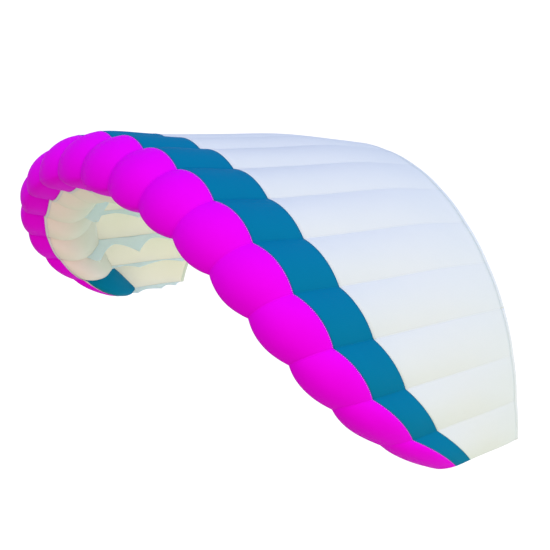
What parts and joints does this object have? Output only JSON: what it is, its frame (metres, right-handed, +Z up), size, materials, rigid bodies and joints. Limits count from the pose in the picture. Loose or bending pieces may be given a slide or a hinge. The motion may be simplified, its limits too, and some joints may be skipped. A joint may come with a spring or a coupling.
{
  "type": "parawing",
  "caption": "Arched soft kite wing: inflated front cells in two colours, single-skin pale rear, scalloped ribs with line tabs, folding at its rib seams.",
  "frame": {"origin": "the middle of the leading edge, at the top of the arch", "axes": "+X along the span to the wearer's left, -Y the way the wing flies, +Z up"},
  "size_m": [2.2582, 1.3027, 0.9904],
  "materials": {
    "nose_fabric": "coated ripstop, soft sheen",
    "band_fabric": "coated ripstop, soft sheen",
    "main_fabric": "coated ripstop, translucent",
    "lower_fabric": "coated ripstop, translucent",
    "rib_fabric": "stiff coated ripstop, translucent",
    "hem_tape": "folded and stitched tape",
    "rod": "drawn nylon"
  },
  "bodies": {
    "centre": {"centre_nose_panel": "nose_fabric", "centre_upper_band": "band_fabric", "centre_main_panel": "main_fabric", "centre_lower_skin": "lower_fabric", "centre_rear_hem": "hem_tape", "rib_07": "rib_fabric", "rib_08": "rib_fabric", "rib_09": "rib_fabric", "rib_10": "rib_fabric", "rib_11": "rib_fabric", "rib_12": "rib_fabric", "nose_rod_07": "rod", "nose_rod_08": "rod", "nose_rod_09": "rod", "nose_rod_10": "rod", "nose_rod_11": "rod", "nose_rod_12": "rod"},
    "left_mid": {"left_mid_nose_panel": "nose_fabric", "left_mid_upper_band": "band_fabric", "left_mid_main_panel": "main_fabric", "left_mid_lower_skin": "lower_fabric", "left_mid_rear_hem": "hem_tape", "rib_04": "rib_fabric", "rib_05": "rib_fabric", "rib_06": "rib_fabric", "nose_rod_04": "rod", "nose_rod_05": "rod", "nose_rod_06": "rod"},
    "left_tip": {"left_tip_nose_panel": "nose_fabric", "left_tip_upper_band": "band_fabric", "left_tip_main_panel": "main_fabric", "left_tip_lower_skin": "lower_fabric", "left_tip_rear_hem": "hem_tape", "rib_01": "rib_fabric", "rib_02": "rib_fabric", "rib_03": "rib_fabric", "nose_rod_02": "rod", "nose_rod_03": "rod"},
    "right_mid": {"right_mid_nose_panel": "nose_fabric", "right_mid_upper_band": "band_fabric", "right_mid_main_panel": "main_fabric", "right_mid_lower_skin": "lower_fabric", "right_mid_rear_hem": "hem_tape", "rib_13": "rib_fabric", "rib_14": "rib_fabric", "rib_15": "rib_fabric", "nose_rod_13": "rod", "nose_rod_14": "rod", "nose_rod_15": "rod"},
    "right_tip": {"right_tip_nose_panel": "nose_fabric", "right_tip_upper_band": "band_fabric", "right_tip_main_panel": "main_fabric", "right_tip_lower_skin": "lower_fabric", "right_tip_rear_hem": "hem_tape", "rib_16": "rib_fabric", "rib_17": "rib_fabric", "rib_18": "rib_fabric", "nose_rod_16": "rod", "nose_rod_17": "rod"}
  },
  "joints": [
    {"name": "left_mid_fold", "type": "hinge", "parent": "centre", "child": "left_mid", "pos_m": [0.51607, 0.15524, 0.0232], "axis": [0, -1, 0], "range_deg": [0, 16]},
    {"name": "left_tip_fold", "type": "hinge", "parent": "left_mid", "child": "left_tip", "pos_m": [0.9805, 0.28403, -0.36459], "axis": [0, -1, 0], "range_deg": [0, 20]},
    {"name": "right_mid_fold", "type": "hinge", "parent": "centre", "child": "right_mid", "pos_m": [-0.51607, 0.15524, 0.0232], "axis": [0, 1, 0], "range_deg": [0, 16]},
    {"name": "right_tip_fold", "type": "hinge", "parent": "right_mid", "child": "right_tip", "pos_m": [-0.9805, 0.28403, -0.36459], "axis": [0, 1, 0], "range_deg": [0, 20]}
  ]
}
